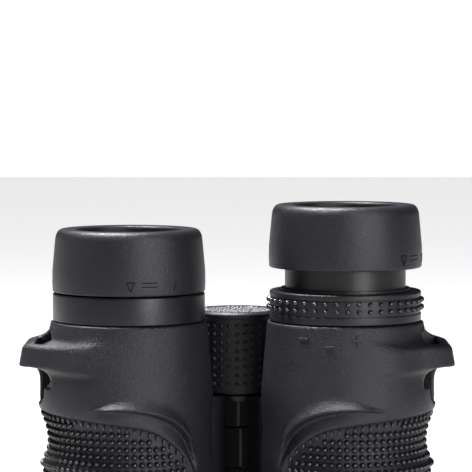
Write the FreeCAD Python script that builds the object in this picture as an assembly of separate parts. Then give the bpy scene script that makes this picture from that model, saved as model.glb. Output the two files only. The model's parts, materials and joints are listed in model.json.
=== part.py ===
"""Roof-prism binoculars, 42 mm class, standing on the objective rims with the eyecups up.

Millimetres. +Z runs along the two optical axes, towards the eyes. +X is the user's right-hand
barrel and -Y is the underside, where the thumbs rest. The origin is the centre of the footprint.
Every barrel part is drawn in barrel coordinates, where the optical axis is x = y = 0, outward is
+X and the hinge lies at (-half_ipd, hinge_offset). The left barrel is the right one's mirror image.
"""

import FreeCAD, Part
import math
import os

V = FreeCAD.Vector
X_AXIS, Z_AXIS = V(1, 0, 0), V(0, 0, 1)
FIT = 0.05        # radial clearance between two round faces
SKIN_GAP = 0.02   # gap between a moulded rubber skin and what it covers
NUDGE = 1.0       # how far a cutting tool runs past the face it cuts

# ---- layout ---------------------------------------------------------------------------------
ipd = 60.2                # distance between the optical axes as it stands
hinge_arm = 37.0          # optical axis to hinge axis
half_ipd = ipd / 2
hinge_offset = math.sqrt(hinge_arm ** 2 - half_ipd ** 2)
web_angle = math.degrees(math.atan2(hinge_offset, -half_ipd))   # barrel to hinge

# ---- shell and rubber armour ----------------------------------------------------------------
body_top = 117.0          # shoulder under the eyepiece rings
bell_r = 26.2             # rubber round the objective
bell_z = 13.0             # the bell is straight up to here
rim_chamfer = 1.2
shoulder_r = 21.7         # rubber at the shoulder
shell_front_r = 24.2      # rigid shell round the objective
shell_rear_r = 20.6       # rigid shell round the prisms
shell_wall = 1.7
shell_front_z = 3.0
shell_step_z = 38.0       # the shell starts to taper in here ...
shell_taper_z = 60.0      # ... and has its rear radius from here up
shell_lid = 5.0
wheel_pocket_r = 13.6     # relief in the rubber round the focus wheel

# ---- strap lug ------------------------------------------------------------------------------
lug_reach = 30.2          # optical axis to the lug's outer face
lug_half = 9.0            # half the width of that face
lug_cheek = (26.8, 12.4)  # corner between the chamfer and the fairing, seen along the axis
lug_root = (19.6, 16.5)   # where the fairing meets the barrel
lug_low, lug_high = 105.1, 110.6
slot_inner, slot_outer = 21.2, 25.5
slot_near, slot_far = -10.2, 3.0      # across the slot: towards the thumb side, and away from it
slot_low, slot_high = 99.2, 115.0
mouth_high = 103.8        # the slot's lower mouth is open to the front below here
mouth_reach = 15.0
ramp_inner, ramp_low = 22.7, 94.3     # shallow step that lets the strap run out

# ---- hinge ----------------------------------------------------------------------------------
knuckle_r = 9.0
knuckle_gap = 0.3
hinge_pin_r = 6.0
front_pin_bore = 4.45
knuckle_d_z, knuckle_c_z, drive_z, knuckle_b_z, knuckle_a_z, hinge_top = 42.0, 52.15, 62.15, 73.85, 85.45, 94.4
web_half = 6.0
web_skin = 1.6
spine_half = 0.7          # narrow rib down the knuckles' underside
spine_rise = 1.1
swing_r = knuckle_r + spine_rise + knuckle_gap    # room that the turning knuckles need

# ---- focus drive ----------------------------------------------------------------------------
spool_mid = 68.0
spool_height = 6.0
spool_r = 5.4
groove_r = 3.7
groove_width = 2.6
arm_thick = 2.4
arm_half = 2.6
focus_travel = 2.0
screw_r = 2.2
screw_tip_r = 2.0
wheel_low, wheel_top = 95.1, 118.3
wheel_r = 13.0
wheel_core_r = 11.4
wheel_grip_r = 12.4
wheel_plate_r = 10.8
wheel_plate = 1.2
wheel_bearing = 14.0      # how far the rear hinge pin reaches into the wheel
wheel_hub = 6.0           # the screw's thick part ends this far below the wheel's top

# ---- tripod socket and its cap --------------------------------------------------------------
socket_r = 3.1
socket_outer_r = 4.4
socket_low, socket_high = 46.4, 58.0
cap_low, cap_disc_top, cap_stub_top = 37.8, 41.1, 45.6
cap_stub_bore = 4.6
coin_slot = (12.0, 1.8, 1.1)      # length, width, depth

# ---- eyepiece -------------------------------------------------------------------------------
tube_r = 16.8
tube_bore_r = 15.4
tube_flange_r = 18.8
tube_flange = 2.3
collar_r = 21.15
collar_edge = 0.4
ring_gap = 0.25           # between the shoulder and the ring on it
cup_gap = 0.35            # between that ring and the lowered eyecup
cup_r, cup_top_r, cup_mouth_r = 21.3, 20.25, 14.35
cup_height = 17.4
cup_lip = 2.2
cup_roll = 2.6            # radius of the rolled top edge
cup_travel = 6.0
cup_turn = 43.0           # degrees of twist over the travel
sleeve_r = 18.7
sleeve_low, sleeve_high = 1.4, 15.1       # above the cup's lower edge
tube_over_cup = 14.3      # tube's end above the lowered cup's lower edge
pin_count = 3
pin_r = 1.0
pin_reach = 0.9
pin_depth = 2.2           # guide pins lie this far below the tube's end
cam_steps = 16
slip_ring = 0.6
left_cup_low = 125.2
right_cup_low = 126.0     # lowered; the right cup stands raised by cup_travel
lip_r, lip_rise = 18.0, 0.7       # upstanding lip of the diopter ring

# ---- optics: heights of eyepiece lenses are below the tube's end ----------------------------
lens_r = 21.5             # objective lenses, 42 mm clear
cell_r = 22.45
cell_low, cell_high = 10.0, 27.0
objective_stop_r = 20.5
retainer_low = 7.0
retainer_steps = (22.0, 21.5, 21.0)
ocular_r = 13.1
ocular_clear_r = 11.3
ocular_cell_span = (31.6, 1.2)
# glass: low rim, high rim, bulge of the low face, bulge of the high face
ocular_glass = {"eye_lens": (8.6, 4.6, 1.6, 1.5), "ocular_doublet": (19.4, 13.2, 2.0, 2.6),
                "field_lens": (29.6, 25.4, -1.2, 2.2)}
retainer_depth = (4.1, 2.6)       # clear of the eye lens's bulge
focus_glass = (spool_mid - 3.2, spool_mid + 1.8, 0.8, -1.4)
objective_glass = {"objective_crown": (12.6, 16.6, 2.3, 3.4), "objective_flint": (16.9, 23.6, -3.4, 0.9)}
focus_lens_r = 13.4
focus_cell_r = 18.4
focus_cell_low, focus_cell_high = 62.6, 73.2
cage_r = 18.8
cage_low, cage_high = 76.6, 104.2
prism_half_x, prism_half_y = 12.0, 11.0
prism_gap = 0.3
penta_low, penta_exit, penta_high, penta_bevel = 77.4, 83.5, 93.4, 3.5
prism_air = 0.6           # air gap between the two prisms, measured along Z
roof_high, roof_bevel = 103.4, 6.0
clip_half, clip_thick = 3.0, 0.6

barrel_y = -(hinge_offset + wheel_r - bell_r) / 2     # centres the footprint in depth
hinge_y = barrel_y + hinge_offset
hinge_local = V(-half_ipd, hinge_offset, 0)

os.makedirs("parts", exist_ok=True)


# ---- helpers --------------------------------------------------------------------------------
def rod(radius, z0, z1, centre=V(0, 0, 0)):
    return Part.makeCylinder(radius, z1 - z0, V(centre.x, centre.y, z0))


def tube(inner, outer, z0, z1, centre=V(0, 0, 0)):
    return rod(outer, z0, z1, centre).cut(rod(inner, z0 - NUDGE, z1 + NUDGE, centre))


def block(x0, x1, y0, y1, z0, z1):
    return Part.makeBox(x1 - x0, y1 - y0, z1 - z0, V(x0, y0, z0))


def slab(points, half):
    """Flat plate from (radius, z) corners in the XZ plane, reaching half to each side in Y."""
    corners = [V(r, -half, z) for r, z in points]
    return Part.Face(Part.makePolygon(corners + [corners[0]])).extrude(V(0, 2 * half, 0))


def lines(*points):
    """Straight edges through (radius, z) points in the XZ plane."""
    corners = [V(r, 0, z) for r, z in points]
    return [Part.LineSegment(a, b).toShape() for a, b in zip(corners, corners[1:])]


def outlined(points, extra):
    """Flat face round the points, grown by extra on every side."""
    face = Part.Face(Part.makePolygon(points + [points[0]]))
    return Part.Face(face.OuterWire.makeOffset2D(extra, 2)) if extra else face


def arc(*points):
    """One arc through three (radius, z) points."""
    return [Part.Arc(*[V(r, 0, z) for r, z in points]).toShape()]


def curve(points):
    """One smooth edge through (radius, z) points."""
    spline = Part.BSplineCurve()
    spline.interpolate([V(r, 0, z) for r, z in points])
    return [spline.toShape()]


def turned(edges):
    """Solid of revolution about Z from edges that close on themselves."""
    return Part.Face(Part.Wire(Part.__sortEdges__(edges))).revolve(V(0, 0, 0), Z_AXIS, 360)


def aimed(shape, angle):
    """A copy turned about Z."""
    one = shape.copy()
    one.rotate(V(0, 0, 0), Z_AXIS, angle)
    return one


def ring_of(shape, count):
    return [aimed(shape, 360.0 * k / count) for k in range(count)]


def raised(shape, height):
    one = shape.copy()
    one.translate(V(0, 0, height))
    return one


def place(shape, side, mirrored=True):
    """Barrel coordinates to the row's frame. Round parts that turn are not mirrored."""
    moved = shape.copy()
    if side == "left" and mirrored:
        moved = moved.mirror(V(0, 0, 0), X_AXIS)
    moved.translate(V(-half_ipd if side == "left" else half_ipd, barrel_y, 0))
    return moved


def on_hinge(shape):
    """Parts drawn about the hinge axis, moved to it."""
    moved = shape.copy()
    moved.translate(V(0, hinge_y, 0))
    return moved


def save(name, shape):
    solids = shape.Solids
    bad = [s for s in solids if not s.isValid() or s.Volume <= 0]
    if not solids or bad:
        raise RuntimeError(f"{name}: {len(solids)} solids, {len(bad)} of them bad")
    whole = solids[0] if len(solids) == 1 else Part.makeCompound(solids)
    whole.exportStep(f"parts/{name}.step")
    print(f"{name:28s} solids {len(solids)}  volume {whole.Volume:9.1f} mm3")


# ---- rigid shell ----------------------------------------------------------------------------
def shell_envelope(extra=0.0):
    """The outside of the rigid shell, filled."""
    front, rear = shell_front_r + extra, shell_rear_r + extra
    return turned(lines((0, shell_front_z), (front, shell_front_z), (front, shell_step_z),
                        (rear, shell_taper_z), (rear, body_top), (0, body_top), (0, shell_front_z)))


def shell_cavity():
    front, rear, lid_z = shell_front_r - shell_wall, shell_rear_r - shell_wall, body_top - shell_lid
    neck = tube_r + FIT
    return turned(lines((0, shell_front_z - NUDGE), (front, shell_front_z - NUDGE),
                        (front, shell_step_z - shell_wall), (rear, shell_taper_z), (rear, lid_z),
                        (neck, lid_z), (neck, body_top + NUDGE), (0, body_top + NUDGE),
                        (0, shell_front_z - NUDGE)))


def knuckle_spans(side):
    """Height spans of this side's knuckles, and those where its web clears the other side's."""
    edges = (knuckle_d_z, knuckle_c_z, drive_z, knuckle_b_z, knuckle_a_z, hinge_top)
    half = knuckle_gap / 2
    d, c, drive, b, a = [(low + half, high - half) for low, high in zip(edges, edges[1:])]
    d = (knuckle_d_z, d[1])
    a = (a[0], hinge_top)
    return ([d, a], [c, b]) if side == "left" else ([c, b], [d, drive, a])


def web(half, z0, z1, reach):
    """Flat arm from the barrel towards the hinge."""
    return aimed(block(shell_rear_r - 3, reach, -half, half, z0, z1), web_angle)


def arm_channel():
    """Passage through the shell and web for the focusing arm."""
    half_height = focus_travel + arm_thick / 2 + 0.8
    half = arm_half + 0.6
    return aimed(block(focus_lens_r, hinge_arm, -half, half, spool_mid - half_height, spool_mid + half_height),
                 web_angle)


def spine(centre, z0, z1):
    """Narrow rib down the underside of a knuckle."""
    root = hinge_pin_r + 1.5
    return block(centre.x - spine_half, centre.x + spine_half,
                 centre.y - knuckle_r - spine_rise, centre.y - root, z0, z1)


def make_shell(side):
    knuckles, others = knuckle_spans(side)
    shell = shell_envelope().fuse(web(web_half, knuckle_d_z, hinge_top, hinge_arm))
    for z0, z1 in others:
        shell = shell.cut(rod(swing_r, z0 - knuckle_gap, z1 + knuckle_gap, hinge_local))
    if side == "left":
        shell = shell.cut(rod(knuckle_r + SKIN_GAP, drive_z, knuckle_b_z, hinge_local))
    for z0, z1 in knuckles:
        shell = shell.fuse([rod(knuckle_r, z0, z1, hinge_local), spine(hinge_local, z0, z1)])
    shell = shell.cut(rod(hinge_pin_r + FIT, knuckle_d_z - NUDGE, hinge_top + NUDGE, hinge_local))
    return shell.cut(shell_cavity()).cut(arm_channel())


# ---- rubber armour and strap lug ------------------------------------------------------------
def armour_solid():
    """Outer shape: straight bell, waist with two finger grooves, swell and shoulder."""
    top = (shoulder_r, body_top)
    side = curve([(bell_r, bell_z), (25.7, 24.0), (24.9, 36.0), (24.5, 48.0), (24.2, 58.0), (22.8, 68.5),
                  (24.7, 77.9), (22.7, 86.5), (25.1, 96.0), (25.0, 101.0), (24.0, 107.0),
                  (22.5, 113.0), top])
    foot = lines((0, body_top), (0, 0), (bell_r - rim_chamfer, 0), (bell_r, rim_chamfer), (bell_r, bell_z))
    return turned(foot + side + lines(top, (0, body_top)))


def make_armour():
    skin_reach = hinge_arm - swing_r - 2.0
    armour = armour_solid().fuse(web(web_half + web_skin, knuckle_d_z - web_skin, hinge_top, skin_reach))
    armour = armour.cut(rod(wheel_pocket_r, hinge_top + 0.2, body_top + NUDGE, hinge_local))
    armour = armour.cut([shell_envelope(SKIN_GAP),
                         web(web_half + SKIN_GAP, knuckle_d_z, hinge_top + 0.4, hinge_arm),
                         rod(shell_front_r - shell_wall + 0.2, -NUDGE, shell_front_z + NUDGE)])
    return armour.cut(lug_solid(FIT)).cut(strap_slot())


def lug_solid(extra=0.0):
    """A bar that stands out from the barrel: its side outline crossed with its plan."""
    root, width = lug_root[0], lug_root[1] + NUDGE
    outline = [(root, slot_low), (25.0, slot_low), (25.4, slot_low + 2.3), (26.4, mouth_high - 0.4),
               (28.1, lug_low - 0.8), (lug_reach, lug_low), (lug_reach - 0.9, lug_high - 0.2),
               (28.3, lug_high + 0.6), (25.2, lug_high + 1.9), (23.4, lug_high + 3.2), (22.2, lug_high + 4.7),
               (root, lug_high + 4.9)]
    half = [lug_root, lug_cheek, (lug_reach, lug_half)]
    side = outlined([V(r, -width, z) for r, z in outline], extra)
    plan = outlined([V(x, -y, 0) for x, y in half] + [V(x, y, 0) for x, y in reversed(half)], extra)
    return side.extrude(V(0, 2 * width, 0)).common(plan.extrude(V(0, 0, body_top + NUDGE)))


def strap_slot():
    """Straight slot behind the bar, a lower mouth that is open to the front, and a shallow ramp below."""
    out = lug_reach + NUDGE
    straight = block(slot_inner, slot_outer, slot_near, slot_far, slot_low, body_top + NUDGE)
    above = block(slot_inner, out, slot_near, slot_far, slot_high, body_top + NUDGE)
    mouth = block(slot_inner, out, -mouth_reach, slot_far, slot_low, mouth_high - 0.4)
    half, middle = (slot_far - slot_near) / 2, (slot_far + slot_near) / 2
    ramp = slab([(slot_inner, slot_low), (out, slot_low), (out, ramp_low), (25.4, ramp_low),
                 (ramp_inner, ramp_low + 3.0)], half)
    return straight.fuse([mouth, ramp.translated(V(0, middle, 0)), above])


def make_lug():
    return lug_solid().cut(shell_envelope(SKIN_GAP)).cut(strap_slot())


# ---- eyepiece -------------------------------------------------------------------------------
def make_eyepiece_tube(top):
    flange_top = body_top - shell_lid - 0.1
    body = tube(tube_bore_r, tube_r, cage_high + 0.2, top)
    body = body.fuse(tube(tube_bore_r, tube_flange_r, flange_top - tube_flange, flange_top))
    hole = Part.makeCylinder(pin_r, tube_r, V(tube_bore_r - NUDGE, 0, top - pin_depth), X_AXIS)
    return body.cut(ring_of(hole, pin_count))


def make_guide_pins(top):
    pin = Part.makeCylinder(pin_r, tube_r + pin_reach - tube_bore_r, V(tube_bore_r, 0, top - pin_depth), X_AXIS)
    flush = pin.cut(rod(tube_bore_r + 0.1, top - 2 * pin_depth, top))
    return Part.makeCompound(ring_of(flush, pin_count))


def make_collar():
    """Plain ring between the left barrel's shoulder and its eyecup."""
    z0, z1 = body_top + ring_gap, left_cup_low - cup_gap
    bore = tube_r + FIT
    return turned(lines((bore, z0), (collar_r, z0), (collar_r, z1 - collar_edge),
                        (collar_r - collar_edge, z1), (bore, z1), (bore, z0)))


def make_diopter_ring():
    """Turning ring on the right barrel: a sunk grip band between two plain edges, and a lip on top."""
    z0, z1 = body_top + ring_gap, right_cup_low - cup_gap
    bore, edge, sunk = tube_r + FIT, collar_r - 0.1, collar_r - 0.4
    return turned(lines((bore, z0), (edge, z0), (edge, z0 + 2.0), (sunk, z0 + 2.2), (sunk, z1 - 1.7),
                        (edge, z1 - 1.5), (edge, z1 - 0.5), (edge - 0.5, z1), (lip_r, z1),
                        (lip_r, z1 + lip_rise), (bore, z1 + lip_rise), (bore, z0)))


def cam_groove(pin_z):
    """Helical groove inside the cup's sleeve, from the lowered cup's pin height to the raised one's."""
    start, depth = tube_r - 0.6, pin_reach + 0.9
    drop, twist = cup_travel / cam_steps, cup_turn / cam_steps
    stations = []
    for k in range(cam_steps + 1):
        hole = Part.makeCylinder(pin_r + 0.25, depth, V(start, 0, pin_z - drop * k), X_AXIS)
        stations.append(aimed(hole, -twist * k))
    return stations[0].fuse(stations[1:])


def make_eyecup_sleeve(cup_low):
    """Rigid lining of an eyecup whose lower edge stands at cup_low when lowered."""
    body = tube(tube_r + 0.12, sleeve_r, cup_low + sleeve_low, cup_low + sleeve_high)
    return body.cut(ring_of(cam_groove(cup_low + tube_over_cup - pin_depth), pin_count))


def make_eyecup_rubber(cup_low):
    """Soft cover: tapered wall, rolled top edge and an inward lip."""
    top = cup_low + cup_height
    lip_z = top - cup_lip
    bore, edge, mouth = sleeve_r + SKIN_GAP, 0.4, 0.5
    bend = cup_roll * (1 - math.sqrt(0.5))
    shoulder, crown = (cup_top_r, top - cup_roll), (cup_top_r - cup_roll, top)
    inner_top, inner_low = (cup_mouth_r + mouth, top), (cup_mouth_r, top - mouth)
    edges = lines((bore, cup_low), (cup_r - edge, cup_low), (cup_r, cup_low + edge), shoulder)
    edges += arc(shoulder, (cup_top_r - bend, top - bend), crown)
    edges += lines(crown, inner_top)
    edges += arc(inner_top, (cup_mouth_r + 0.3 * mouth, top - 0.3 * mouth), inner_low)
    edges += lines(inner_low, (cup_mouth_r, lip_z), (bore, lip_z), (bore, cup_low))
    return turned(edges)


def make_slip_ring(cup_low):
    """Washer between the tube's end and the cup's lip. It rides with the cup and does not turn."""
    z0 = cup_low + tube_over_cup + 0.1
    return tube(cup_mouth_r + 0.4, tube_r, z0, z0 + slip_ring)


# ---- optics ---------------------------------------------------------------------------------
def lens_face(radius, edge_z, rise):
    """Arc from the axis to the rim of a lens face whose middle stands rise above its rim."""
    bow = (radius ** 2 + rise ** 2) / (2 * abs(rise))
    halfway = math.sqrt(bow ** 2 - radius ** 2 / 4) - (bow - abs(rise))
    return arc((0, edge_z + rise), (radius / 2, edge_z + math.copysign(halfway, rise)), (radius, edge_z))


def make_lens(radius, z0, z1, low_bulge, high_bulge):
    """Lens with its rim between z0 and z1. A negative bulge is a hollow face."""
    edges = lens_face(radius, z0, -low_bulge) + lens_face(radius, z1, high_bulge)
    return turned(edges + lines((radius, z0), (radius, z1)) + lines((0, z0 - low_bulge), (0, z1 + high_bulge)))


def make_ocular_cell(top):
    """Lens barrel inside the eyepiece tube, with a stop below the field lens."""
    low, high = top - ocular_cell_span[0], top - ocular_cell_span[1]
    body = tube(ocular_r + FIT, tube_bore_r - FIT, low, high)
    return body.fuse(tube(ocular_clear_r, ocular_r + 2 * FIT, low, low + 1.2))


def make_prism_cage():
    half_x, half_y = prism_half_x + prism_gap, prism_half_y + prism_gap
    return rod(cage_r, cage_low, cage_high).cut(
        block(-half_x, half_x, -half_y, half_y, cage_low - NUDGE, cage_high + NUDGE))


def make_half_penta():
    """Front prism, next to the focusing lens."""
    x = prism_half_x
    return slab([(-x, penta_low), (x - penta_bevel, penta_low), (x, penta_low + penta_bevel), (x, penta_high),
                 (-x, penta_exit)], prism_half_y)


def make_roof_prism():
    """Rear prism. Its two roof faces meet along the edge on the -X side."""
    x, y, low, high = prism_half_x, prism_half_y, penta_exit + prism_air, roof_high
    body = slab([(-x, low), (x, penta_high + prism_air), (x, high - roof_bevel), (x / 2, high), (-x, high)], y)
    for side in (-1, 1):
        corner = [V(-x, 0, low), V(-x - NUDGE, side * (y + NUDGE), low), V(-x / 3, side * (y + NUDGE), low)]
        body = body.cut(Part.Face(Part.makePolygon(corner + [corner[0]])).extrude(V(0, 0, high - low)))
    return body


def make_prism_clip():
    """Sprung strip across the cage that holds the prisms down."""
    return block(-prism_half_x, prism_half_x, -clip_half, clip_half, cage_high - clip_thick - 0.1, cage_high - 0.1)


def make_focus_cell():
    """Ring round the focusing lens, with the arm that reaches into the drive spool's groove."""
    z0, z1 = spool_mid - arm_thick / 2, spool_mid + arm_thick / 2
    arm = aimed(block(focus_cell_r - 1.5, hinge_arm - 1.6, -arm_half, arm_half, z0, z1), web_angle)
    arm = arm.cut(rod(groove_r + 0.1, z0 - NUDGE, z1 + NUDGE, hinge_local))
    ring = tube(focus_lens_r + FIT, focus_cell_r, focus_cell_low, focus_cell_high)
    stop = tube(focus_lens_r - 1.0, focus_lens_r + 2 * FIT, focus_cell_low, focus_cell_low + 1.0)
    return ring.fuse([stop, arm])


def make_objective_cell():
    stop = tube(objective_stop_r, lens_r + 2 * FIT, cell_high - 1.4, cell_high)
    return tube(lens_r + FIT, cell_r, cell_low, cell_high).fuse(stop)


def make_objective_retainer():
    """Ring that holds the objective in its cell, stepped inside against glare."""
    step = (cell_low - retainer_low) / len(retainer_steps)
    inside = []
    for k, radius in enumerate(retainer_steps):
        inside += [(radius, retainer_low + k * step), (radius, retainer_low + (k + 1) * step)]
    return turned(lines(*inside, (cell_r, cell_low), (cell_r, retainer_low), inside[0]))


def build_barrel(side, cup_low):
    """Every part of one barrel. The left eyecup stands lowered, the right one raised."""
    top = cup_low + tube_over_cup
    lift, twist = (cup_travel, cup_turn) if side == "right" else (0.0, 0.0)

    def put(name, shape, mirrored=True):
        save(f"{side}_{name}", place(shape, side, mirrored))

    put("shell", make_shell(side))
    put("rubber_armour", make_armour())
    put("strap_lug", make_lug())
    put("eyepiece_tube", make_eyepiece_tube(top), False)
    put("eyecup_guide_pins", make_guide_pins(top), False)
    put("eyecup_sleeve", raised(aimed(make_eyecup_sleeve(cup_low), twist), lift), False)
    put("eyecup_rubber", raised(make_eyecup_rubber(cup_low), lift))
    put("eyecup_slip_ring", raised(make_slip_ring(cup_low), lift))
    put("ocular_cell", make_ocular_cell(top))
    for name, (low, high, low_bulge, high_bulge) in ocular_glass.items():
        put(name, make_lens(ocular_r, top - low, top - high, low_bulge, high_bulge))
    put("ocular_retainer", tube(ocular_clear_r, ocular_r, top - retainer_depth[0], top - retainer_depth[1]))
    put("prism_cage", make_prism_cage())
    put("half_penta_prism", make_half_penta())
    put("roof_prism", make_roof_prism())
    put("prism_clip", make_prism_clip())
    put("focus_cell", make_focus_cell())
    put("focus_lens", make_lens(focus_lens_r, *focus_glass))
    put("objective_cell", make_objective_cell())
    for name, glass in objective_glass.items():
        put(name, make_lens(lens_r, *glass))
    put("objective_retainer", make_objective_retainer())


# ---- hinge pins, focus drive and tripod socket, drawn about the hinge axis ------------------
def make_drive_sleeve():
    """Sleeve between the knuckles, open where the two focusing arms come in."""
    z0, z1 = drive_z + knuckle_gap / 2, knuckle_b_z - knuckle_gap / 2
    end_wall = 1.2
    body = tube(spool_r + 2.2, knuckle_r, z0, z1).fuse(spine(V(0, 0, 0), z0, z1))
    left_arm = 180 + math.degrees(math.asin(hinge_offset / hinge_arm))
    for start, end in ((left_arm - 24, left_arm + 24), (-72, 61)):
        window = Part.makeCylinder(swing_r + 2, z1 - z0 - 2 * end_wall, V(0, 0, z0 + end_wall), Z_AXIS, end - start)
        body = body.cut(aimed(window, start))
    return body


def make_spool():
    """Nut on the focus screw with a groove that carries both focusing arms."""
    groove = tube(groove_r, spool_r + NUDGE, spool_mid - groove_width / 2, spool_mid + groove_width / 2)
    return tube(screw_r + FIT, spool_r, spool_mid - spool_height / 2, spool_mid + spool_height / 2).cut(groove)


def make_wheel_core():
    body = rod(wheel_core_r, wheel_low, wheel_top - wheel_plate - SKIN_GAP)
    return body.cut([rod(hinge_pin_r + FIT, wheel_low - NUDGE, wheel_low + wheel_bearing + 0.3),
                     rod(screw_r, wheel_low, wheel_top - wheel_hub),
                     rod(screw_tip_r, wheel_low, wheel_top + NUDGE)])


def make_wheel_grip():
    """Rubber sleeve with a wider rolled rim at the top."""
    bore, low, rim = wheel_core_r + SKIN_GAP, wheel_low + 0.2, wheel_top - 1.2
    edges = lines((bore, low), (wheel_grip_r - 0.4, low), (wheel_grip_r, low + 0.4), (wheel_grip_r, rim - 2.2),
                  (wheel_r, rim - 1.0), (wheel_r, rim))
    edges += arc((wheel_r, rim), (wheel_r - 0.35, wheel_top - 0.35), (wheel_r - 1.2, wheel_top))
    return turned(edges + lines((wheel_r - 1.2, wheel_top), (bore, wheel_top), (bore, low)))


def make_focus_screw():
    """Spindle that turns with the wheel and drives the spool."""
    shoulder = wheel_top - wheel_hub
    return rod(screw_r, drive_z + 0.6, shoulder).fuse(rod(screw_tip_r, shoulder, wheel_top - wheel_plate - 0.1))


def make_front_pin():
    """Hollow hinge pin round the tripod socket, closed at its inner end."""
    z0, z1 = socket_low - 0.1, drive_z - 0.2
    return tube(front_pin_bore, hinge_pin_r, z0, z1).fuse(rod(front_pin_bore + FIT, z1 - 2.0, z1))


def make_tripod_cap():
    """Cover of the tripod socket: a coin-slotted disc with a hollow stub."""
    edge, stub_r = 1.2, hinge_pin_r - 0.1
    inner_z = cap_disc_top - 1.0
    edges = lines((0, cap_low), (knuckle_r - edge, cap_low))
    edges += arc((knuckle_r - edge, cap_low), (knuckle_r - 0.35, cap_low + 0.35), (knuckle_r, cap_low + edge))
    edges += lines((knuckle_r, cap_low + edge), (knuckle_r, cap_disc_top), (stub_r, cap_disc_top),
                   (stub_r, cap_stub_top), (cap_stub_bore, cap_stub_top), (cap_stub_bore, inner_z),
                   (0, inner_z), (0, cap_low))
    length, width, depth = coin_slot
    return turned(edges).cut(block(-length / 2, length / 2, -width / 2, width / 2, cap_low - NUDGE, cap_low + depth))


def build_centre():
    pin_low, pin_high = knuckle_b_z + knuckle_gap / 2, wheel_low + wheel_bearing
    parts = {
        "drive_sleeve": make_drive_sleeve(),
        "rear_hinge_pin": tube(screw_r + 0.1, hinge_pin_r, pin_low, pin_high),
        "front_hinge_pin": make_front_pin(),
        "focus_screw": make_focus_screw(),
        "focus_spool": make_spool(),
        "focus_wheel_core": make_wheel_core(),
        "focus_wheel_grip": make_wheel_grip(),
        "focus_wheel_plate": rod(wheel_plate_r, wheel_top - wheel_plate, wheel_top),
        "focus_wheel_washer": tube(hinge_pin_r + FIT, knuckle_r, hinge_top + FIT, wheel_low - FIT),
        "tripod_socket": tube(socket_r, socket_outer_r, socket_low, socket_high),
        "tripod_cap": make_tripod_cap(),
        "tripod_cap_washer": tube(hinge_pin_r + FIT, knuckle_r - 0.5, cap_disc_top + FIT, knuckle_d_z - 2 * FIT),
    }
    for name, shape in parts.items():
        save(name, on_hinge(shape))


build_barrel("left", left_cup_low)
save("left_collar", place(make_collar(), "left"))
build_barrel("right", right_cup_low)
save("right_diopter_ring", place(make_diopter_ring(), "right"))
build_centre()
print(f"barrel_y {barrel_y:.3f}  hinge_y {hinge_y:.3f}")
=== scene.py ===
"""Looks of the binoculars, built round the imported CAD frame.

Lengths are millimetres until a mesh is made, which scales them to metres. Barrel coordinates have
the optical axis at x = y = 0, outward at +x and the thumb side at -y. Angles round a barrel are
degrees from the thumb side towards outward.
"""

import json
import math

import bpy
import numpy as np
import openvdb
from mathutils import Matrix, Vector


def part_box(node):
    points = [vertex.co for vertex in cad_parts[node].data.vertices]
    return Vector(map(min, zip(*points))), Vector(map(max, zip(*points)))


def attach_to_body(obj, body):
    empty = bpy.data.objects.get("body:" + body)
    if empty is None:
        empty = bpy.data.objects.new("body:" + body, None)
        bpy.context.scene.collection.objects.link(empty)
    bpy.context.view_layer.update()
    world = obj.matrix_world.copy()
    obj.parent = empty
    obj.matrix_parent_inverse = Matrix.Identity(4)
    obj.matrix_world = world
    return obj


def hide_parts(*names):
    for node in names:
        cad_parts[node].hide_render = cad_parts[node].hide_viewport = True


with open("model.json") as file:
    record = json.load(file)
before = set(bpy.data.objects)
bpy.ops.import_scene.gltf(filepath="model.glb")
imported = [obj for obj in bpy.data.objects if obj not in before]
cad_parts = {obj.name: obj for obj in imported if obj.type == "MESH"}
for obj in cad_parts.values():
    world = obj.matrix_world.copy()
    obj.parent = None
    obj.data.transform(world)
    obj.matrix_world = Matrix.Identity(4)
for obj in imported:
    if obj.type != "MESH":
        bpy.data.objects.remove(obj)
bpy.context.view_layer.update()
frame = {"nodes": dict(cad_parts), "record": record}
nodes = frame["nodes"]

MM = 0.001


def centre_of(node):
    low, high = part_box(node)
    return (low + high) / 2 / MM


def span_of(node):
    low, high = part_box(node)
    return low.z / MM, high.z / MM


HALF_IPD = centre_of("right_eye_lens").x
BARREL_Y = centre_of("right_eye_lens").y
HINGE_Y = centre_of("focus_wheel_core").y       # the wheel turns on the hinge's axis
HINGE = (-HALF_IPD, HINGE_Y - BARREL_Y)         # in barrel coordinates
BODY_TOP = span_of("right_rubber_armour")[1]
WEB_ANGLE = math.atan2(HINGE[1], HINGE[0])


# ---- meshes -----------------------------------------------------------------------------------
def make_object(name, verts, faces, crease=None):
    """Object from millimetre points. crease keeps edges sharper than that angle in degrees."""
    mesh = bpy.data.meshes.new(name)
    mesh.from_pydata((np.asarray(verts, float) * MM).tolist(), [], faces)
    mesh.update()
    mesh.shade_smooth()
    if crease:
        mesh.set_sharp_from_angle(angle=math.radians(crease))
    obj = bpy.data.objects.new(name, mesh)
    bpy.context.scene.collection.objects.link(obj)
    return obj


def to_side(points, side):
    """Barrel coordinates to the row frame."""
    p = np.array(points, float)
    sign = 1 if side == "right" else -1
    return np.column_stack((sign * (HALF_IPD + p[:, 0]), BARREL_Y + p[:, 1], p[:, 2]))


def flipped(faces, side):
    return faces if side == "right" else [tuple(reversed(f)) for f in faces]


def softened(corners, steps=6):
    """Closed outline from (r, z, cut) corners, each rounded over a length of cut."""
    out, n = [], len(corners)
    for i, (r, z, cut) in enumerate(corners):
        p = np.array((r, z), float)
        if not cut:
            out.append(tuple(p))
            continue
        before, after = np.array(corners[i - 1][:2], float), np.array(corners[(i + 1) % n][:2], float)
        a = p + (before - p) * min(cut / np.linalg.norm(before - p), 0.5)
        b = p + (after - p) * min(cut / np.linalg.norm(after - p), 0.5)
        for k in range(steps + 1):
            t = k / steps
            out.append(tuple(a * (1 - t) ** 2 + p * 2 * t * (1 - t) + b * t ** 2))
    return out


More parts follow.
